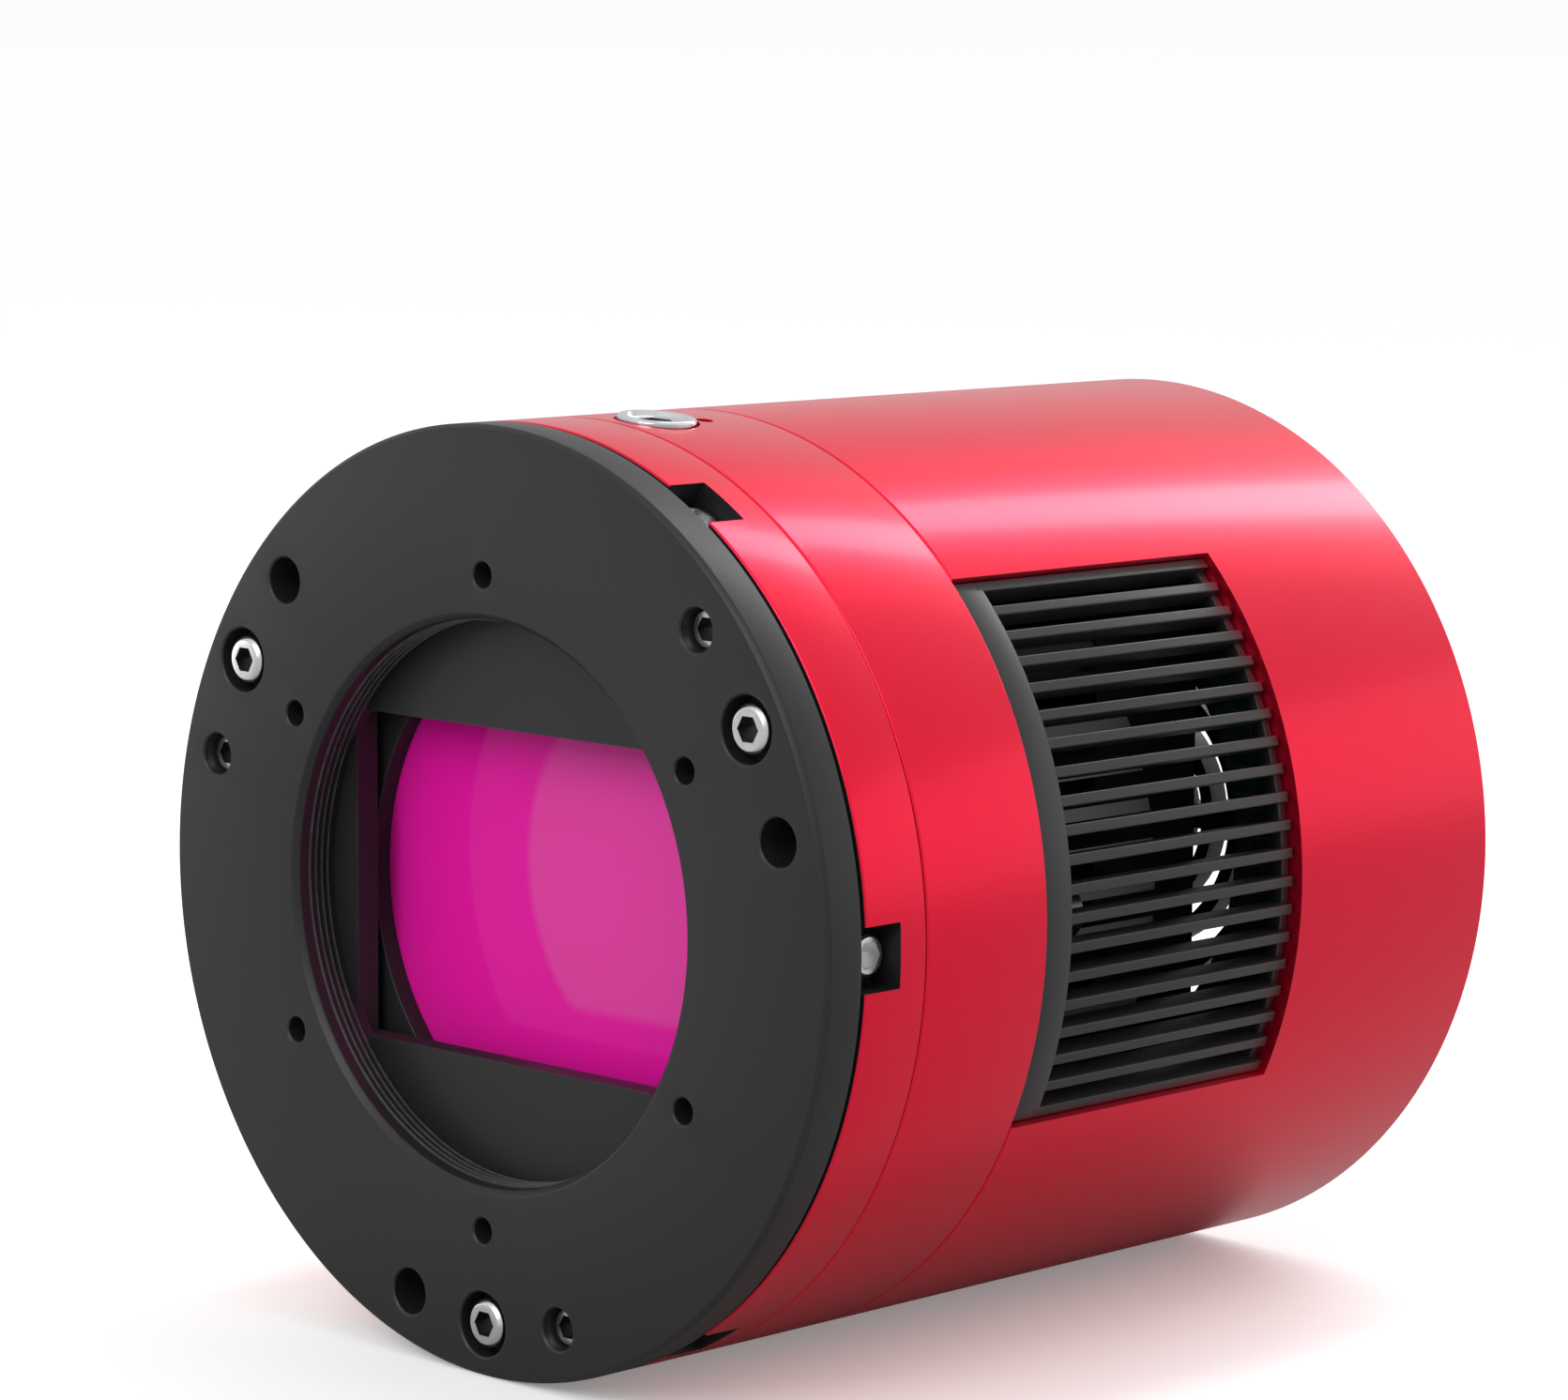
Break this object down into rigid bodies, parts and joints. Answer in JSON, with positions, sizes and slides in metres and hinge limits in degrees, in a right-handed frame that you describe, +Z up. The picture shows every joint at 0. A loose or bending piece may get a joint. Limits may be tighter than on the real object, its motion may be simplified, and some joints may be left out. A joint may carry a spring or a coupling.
{
  "type": "cooled astronomy camera",
  "caption": "Round cooled camera for a telescope: red metal body, black tilting front plate round a coated window, side air grilles, rear fan and ports.",
  "frame": {"origin": "centre of the front face, on the optical axis", "axes": "+Y back along the optical axis, +Z up, +X right seen from the front; -Y points to the telescope"},
  "size_m": [0.09, 0.095, 0.0905],
  "materials": {
    "plate_black": "satin black anodised",
    "housing_red": "glossy red anodised",
    "chamber_black": "matte black anodised",
    "grille_black": "fine satin",
    "screw_steel": "bright stainless",
    "dark_steel": "blackened",
    "plug_steel": "turned stainless",
    "seal_foam": "matte foam",
    "oring_rubber": "smooth",
    "window_glass": "coated, magenta reflex",
    "cover_glass": "coated",
    "heater_film": "polyimide film",
    "sensor_silicon": "polished die",
    "sensor_ceramic": "ceramic",
    "board_green": "solder mask",
    "chip_black": "moulded",
    "nylon": "nylon",
    "cooler_aluminium": "milled",
    "cooler_ceramic": "alumina",
    "pellet_metal": "sintered",
    "foam_insulation": "closed-cell foam",
    "desiccant_white": "pressed tablet",
    "ribbon_film": "polyimide ribbon",
    "fan_plastic": "moulded",
    "copper_winding": "enamelled",
    "magnet_ferrite": "ferrite",
    "brass_bronze": "sintered bronze",
    "port_shell": "nickel plated",
    "port_insert": "moulded",
    "jack_plastic": "moulded",
    "post_brass": "nickel plated"
  },
  "bodies": {
    "tilt_plate": {"tilt_plate": "plate_black"},
    "light_seal": {"light_seal": "seal_foam"},
    "camera_body": {"front_housing": "housing_red", "side_screws": "screw_steel", "front_screws": "dark_steel", "chamber_cover": "chamber_black", "cover_oring": "oring_rubber", "aperture_ring": "chamber_black", "window": "window_glass", "window_heater": "heater_film", "window_oring": "oring_rubber", "window_retainer": "chamber_black", "middle_housing": "housing_red", "chamber_oring": "oring_rubber", "desiccant_tablets": "desiccant_white", "sensor_glass": "cover_glass", "sensor_die": "sensor_silicon", "sensor_package": "sensor_ceramic", "sensor_board": "board_green", "board_spacers": "nylon", "cold_plate": "cooler_aluminium", "tec_ceramics": "cooler_ceramic", "tec_pellets": "pellet_metal", "insulation": "foam_insulation", "heat_sink": "cooler_aluminium", "housing_screws": "dark_steel", "feedthrough": "jack_plastic", "sensor_flex": "ribbon_film", "fan_frame": "fan_plastic", "fan_screws": "dark_steel", "fan_bearings": "brass_bronze", "fan_stator": "copper_winding", "main_board": "board_green", "board_chips": "chip_black", "board_posts": "post_brass", "rear_standoffs": "post_brass", "rear_shell": "housing_red", "right_grille": "grille_black", "left_grille": "grille_black", "rear_cover": "plate_black", "rear_cover_screws": "screw_steel", "usb3_port": "port_shell", "usb2_ports": "port_shell", "usb_tongues": "port_insert", "dc_jack": "jack_plastic", "dc_pin": "port_shell"},
    "pull_screw_1": {"pull_screw_1": "screw_steel"},
    "pull_screw_2": {"pull_screw_2": "screw_steel"},
    "pull_screw_3": {"pull_screw_3": "screw_steel"},
    "push_screw_1": {"push_screw_1": "screw_steel"},
    "push_screw_2": {"push_screw_2": "screw_steel"},
    "push_screw_3": {"push_screw_3": "screw_steel"},
    "plug_seal": {"plug_oring": "oring_rubber"},
    "air_plug": {"air_plug": "plug_steel"},
    "fan_rotor": {"fan_rotor": "fan_plastic", "fan_magnet": "magnet_ferrite", "fan_shaft": "screw_steel"}
  },
  "joints": [
    {"name": "tilt_sideways", "type": "hinge", "parent": "tilt_plate", "child": "light_seal", "pos_m": [0, 0.0049, 0], "axis": [0, 0, 1], "range_deg": [-0.3, 0.3]},
    {"name": "tilt_up_down", "type": "hinge", "parent": "light_seal", "child": "camera_body", "pos_m": [0, 0.0049, 0], "axis": [1, 0, 0], "range_deg": [-0.3, 0.3]},
    {"name": "pull_screw_1_turn", "type": "hinge", "parent": "tilt_plate", "child": "pull_screw_1", "pos_m": [0.03464, 0.003, 0.02], "axis": [0, -1, 0], "range_deg": [-150, 150]},
    {"name": "pull_screw_2_turn", "type": "hinge", "parent": "tilt_plate", "child": "pull_screw_2", "pos_m": [-0.03464, 0.003, 0.02], "axis": [0, -1, 0], "range_deg": [-150, 150]},
    {"name": "pull_screw_3_turn", "type": "hinge", "parent": "tilt_plate", "child": "pull_screw_3", "pos_m": [0, 0.003, -0.04], "axis": [0, -1, 0], "range_deg": [-150, 150]},
    {"name": "push_screw_1_turn", "type": "hinge", "parent": "tilt_plate", "child": "push_screw_1", "pos_m": [0.02828, 0.003, 0.02828], "axis": [0, -1, 0], "range_deg": [-150, 150]},
    {"name": "push_screw_2_turn", "type": "hinge", "parent": "tilt_plate", "child": "push_screw_2", "pos_m": [-0.03864, 0.003, 0.01035], "axis": [0, -1, 0], "range_deg": [-150, 150]},
    {"name": "push_screw_3_turn", "type": "hinge", "parent": "tilt_plate", "child": "push_screw_3", "pos_m": [0.01035, 0.003, -0.03864], "axis": [0, -1, 0], "range_deg": [-150, 150]},
    {"name": "plug_lift", "type": "slide", "parent": "camera_body", "child": "plug_seal", "axis": [0.0958, 0, 0.9954], "range_m": [0, 0.003]},
    {"name": "plug_turn", "type": "hinge", "parent": "plug_seal", "child": "air_plug", "pos_m": [0.00431, 0.018, 0.04479], "axis": [0.0958, 0, 0.9954], "range_deg": [0, 1441]},
    {"name": "fan_spin", "type": "hinge", "parent": "camera_body", "child": "fan_rotor", "pos_m": [0, 0.0655, 0], "axis": [0, 1, 0], "continuous": true}
  ],
  "couplings": [
    {"joint": "plug_turn", "follows": "plug_lift", "rad_per_m": 8377.6}
  ]
}
